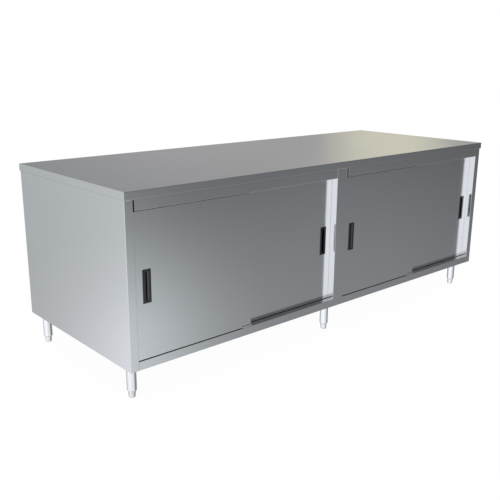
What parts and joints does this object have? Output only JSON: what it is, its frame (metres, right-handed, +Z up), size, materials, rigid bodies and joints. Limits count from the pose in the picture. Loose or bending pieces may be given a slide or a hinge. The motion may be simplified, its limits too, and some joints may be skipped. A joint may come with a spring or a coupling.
{
  "type": "cabinet base work table",
  "caption": "Stainless work table with a flat worktop over an enclosed cabinet of two bays, with overlapping sliding doors, midshelves and adjustable feet.",
  "frame": {"origin": "on the floor under the centre of the worktop", "axes": "+X runs along the worktop's length to the right as seen from the front, +Y runs from the front to the back, +Z is up"},
  "size_m": [2.4384, 0.9144, 0.8827],
  "materials": {
    "stainless_sheet": "fine brushed",
    "leg_tube": "satin",
    "turned_steel": "satin",
    "track_aluminium": "mill",
    "black_plastic": "satin",
    "white_nylon": "smooth",
    "black_rubber": "matt"
  },
  "bodies": {
    "cabinet": {"worktop": "stainless_sheet", "worktop_hats": "stainless_sheet", "side_panel_left": "stainless_sheet", "side_panel_right": "stainless_sheet", "back_panel": "stainless_sheet", "centre_partition": "stainless_sheet", "centre_post": "stainless_sheet", "centre_stile": "stainless_sheet", "floor_pan": "stainless_sheet", "leg_channels": "stainless_sheet", "leg_sockets": "stainless_sheet", "leg_inserts": "turned_steel", "track_stops": "black_rubber", "fixing_screws": "turned_steel", "shelf_pilasters": "stainless_sheet", "shelf_clips": "stainless_sheet", "leg_front_left": "leg_tube", "leg_front_centre": "leg_tube", "leg_front_right": "leg_tube", "leg_rear_left": "leg_tube", "leg_rear_centre": "leg_tube", "leg_rear_right": "leg_tube", "left_valance": "stainless_sheet", "left_track": "track_aluminium", "left_centre_guide": "stainless_sheet", "right_valance": "stainless_sheet", "right_track": "track_aluminium", "right_centre_guide": "stainless_sheet"},
    "left_front_door": {"left_front_door_outer_skin": "stainless_sheet", "left_front_door_inner_skin": "stainless_sheet", "left_front_door_pull": "black_plastic", "left_front_door_hangers": "turned_steel"},
    "left_front_door_left_roller": {"left_front_door_roller_left": "white_nylon"},
    "left_front_door_right_roller": {"left_front_door_roller_right": "white_nylon"},
    "left_rear_door": {"left_rear_door_outer_skin": "stainless_sheet", "left_rear_door_inner_skin": "stainless_sheet", "left_rear_door_pull": "black_plastic", "left_rear_door_hangers": "turned_steel"},
    "left_rear_door_left_roller": {"left_rear_door_roller_left": "white_nylon"},
    "left_rear_door_right_roller": {"left_rear_door_roller_right": "white_nylon"},
    "right_front_door": {"right_front_door_outer_skin": "stainless_sheet", "right_front_door_inner_skin": "stainless_sheet", "right_front_door_pull": "black_plastic", "right_front_door_hangers": "turned_steel"},
    "right_front_door_left_roller": {"right_front_door_roller_left": "white_nylon"},
    "right_front_door_right_roller": {"right_front_door_roller_right": "white_nylon"},
    "right_rear_door": {"right_rear_door_outer_skin": "stainless_sheet", "right_rear_door_inner_skin": "stainless_sheet", "right_rear_door_pull": "black_plastic", "right_rear_door_hangers": "turned_steel"},
    "right_rear_door_left_roller": {"right_rear_door_roller_left": "white_nylon"},
    "right_rear_door_right_roller": {"right_rear_door_roller_right": "white_nylon"},
    "foot_front_left": {"foot_front_left": "turned_steel"},
    "foot_front_centre": {"foot_front_centre": "turned_steel"},
    "foot_front_right": {"foot_front_right": "turned_steel"},
    "foot_rear_left": {"foot_rear_left": "turned_steel"},
    "foot_rear_centre": {"foot_rear_centre": "turned_steel"},
    "foot_rear_right": {"foot_rear_right": "turned_steel"},
    "left_midshelf": {"left_midshelf": "stainless_sheet"},
    "right_midshelf": {"right_midshelf": "stainless_sheet"}
  },
  "joints": [
    {"name": "left_front_door_slide", "type": "slide", "parent": "cabinet", "child": "left_front_door", "axis": [1, 0, 0], "range_m": [0, 0.47]},
    {"name": "left_front_door_left_roller_spin", "type": "hinge", "parent": "left_front_door", "child": "left_front_door_left_roller", "pos_m": [-1.1036, -0.43515, 0.82635], "axis": [0, 1, 0], "continuous": true},
    {"name": "left_front_door_right_roller_spin", "type": "hinge", "parent": "left_front_door", "child": "left_front_door_right_roller", "pos_m": [-0.65656, -0.43515, 0.82635], "axis": [0, 1, 0], "continuous": true},
    {"name": "left_rear_door_slide", "type": "slide", "parent": "cabinet", "child": "left_rear_door", "axis": [-1, 0, 0], "range_m": [0, 0.47]},
    {"name": "left_rear_door_left_roller_spin", "type": "hinge", "parent": "left_rear_door", "child": "left_rear_door_left_roller", "pos_m": [-0.55736, -0.40365, 0.82635], "axis": [0, 1, 0], "continuous": true},
    {"name": "left_rear_door_right_roller_spin", "type": "hinge", "parent": "left_rear_door", "child": "left_rear_door_right_roller", "pos_m": [-0.11033, -0.40365, 0.82635], "axis": [0, 1, 0], "continuous": true},
    {"name": "right_front_door_slide", "type": "slide", "parent": "cabinet", "child": "right_front_door", "axis": [1, 0, 0], "range_m": [0, 0.47]},
    {"name": "right_front_door_left_roller_spin", "type": "hinge", "parent": "right_front_door", "child": "right_front_door_left_roller", "pos_m": [0.11033, -0.43515, 0.82635], "axis": [0, 1, 0], "continuous": true},
    {"name": "right_front_door_right_roller_spin", "type": "hinge", "parent": "right_front_door", "child": "right_front_door_right_roller", "pos_m": [0.55736, -0.43515, 0.82635], "axis": [0, 1, 0], "continuous": true},
    {"name": "right_rear_door_slide", "type": "slide", "parent": "cabinet", "child": "right_rear_door", "axis": [-1, 0, 0], "range_m": [0, 0.47]},
    {"name": "right_rear_door_left_roller_spin", "type": "hinge", "parent": "right_rear_door", "child": "right_rear_door_left_roller", "pos_m": [0.65656, -0.40365, 0.82635], "axis": [0, 1, 0], "continuous": true},
    {"name": "right_rear_door_right_roller_spin", "type": "hinge", "parent": "right_rear_door", "child": "right_rear_door_right_roller", "pos_m": [1.1036, -0.40365, 0.82635], "axis": [0, 1, 0], "continuous": true},
    {"name": "foot_front_left_level", "type": "slide", "parent": "cabinet", "child": "foot_front_left", "axis": [0, 0, -1], "range_m": [0, 0.025]},
    {"name": "foot_front_centre_level", "type": "slide", "parent": "cabinet", "child": "foot_front_centre", "axis": [0, 0, -1], "range_m": [0, 0.025]},
    {"name": "foot_front_right_level", "type": "slide", "parent": "cabinet", "child": "foot_front_right", "axis": [0, 0, -1], "range_m": [0, 0.025]},
    {"name": "foot_rear_left_level", "type": "slide", "parent": "cabinet", "child": "foot_rear_left", "axis": [0, 0, -1], "range_m": [0, 0.025]},
    {"name": "foot_rear_centre_level", "type": "slide", "parent": "cabinet", "child": "foot_rear_centre", "axis": [0, 0, -1], "range_m": [0, 0.025]},
    {"name": "foot_rear_right_level", "type": "slide", "parent": "cabinet", "child": "foot_rear_right", "axis": [0, 0, -1], "range_m": [0, 0.025]},
    {"name": "left_midshelf_lift", "type": "slide", "parent": "cabinet", "child": "left_midshelf", "axis": [0, 0, 1], "range_m": [0, 0.04]},
    {"name": "right_midshelf_lift", "type": "slide", "parent": "cabinet", "child": "right_midshelf", "axis": [0, 0, 1], "range_m": [0, 0.04]}
  ],
  "couplings": [
    {"joint": "left_front_door_left_roller_spin", "follows": "left_front_door_slide", "rad_per_m": 125},
    {"joint": "left_front_door_right_roller_spin", "follows": "left_front_door_slide", "rad_per_m": 125},
    {"joint": "left_rear_door_left_roller_spin", "follows": "left_rear_door_slide", "rad_per_m": -125},
    {"joint": "left_rear_door_right_roller_spin", "follows": "left_rear_door_slide", "rad_per_m": -125},
    {"joint": "right_front_door_left_roller_spin", "follows": "right_front_door_slide", "rad_per_m": 125},
    {"joint": "right_front_door_right_roller_spin", "follows": "right_front_door_slide", "rad_per_m": 125},
    {"joint": "right_rear_door_left_roller_spin", "follows": "right_rear_door_slide", "rad_per_m": -125},
    {"joint": "right_rear_door_right_roller_spin", "follows": "right_rear_door_slide", "rad_per_m": -125}
  ]
}
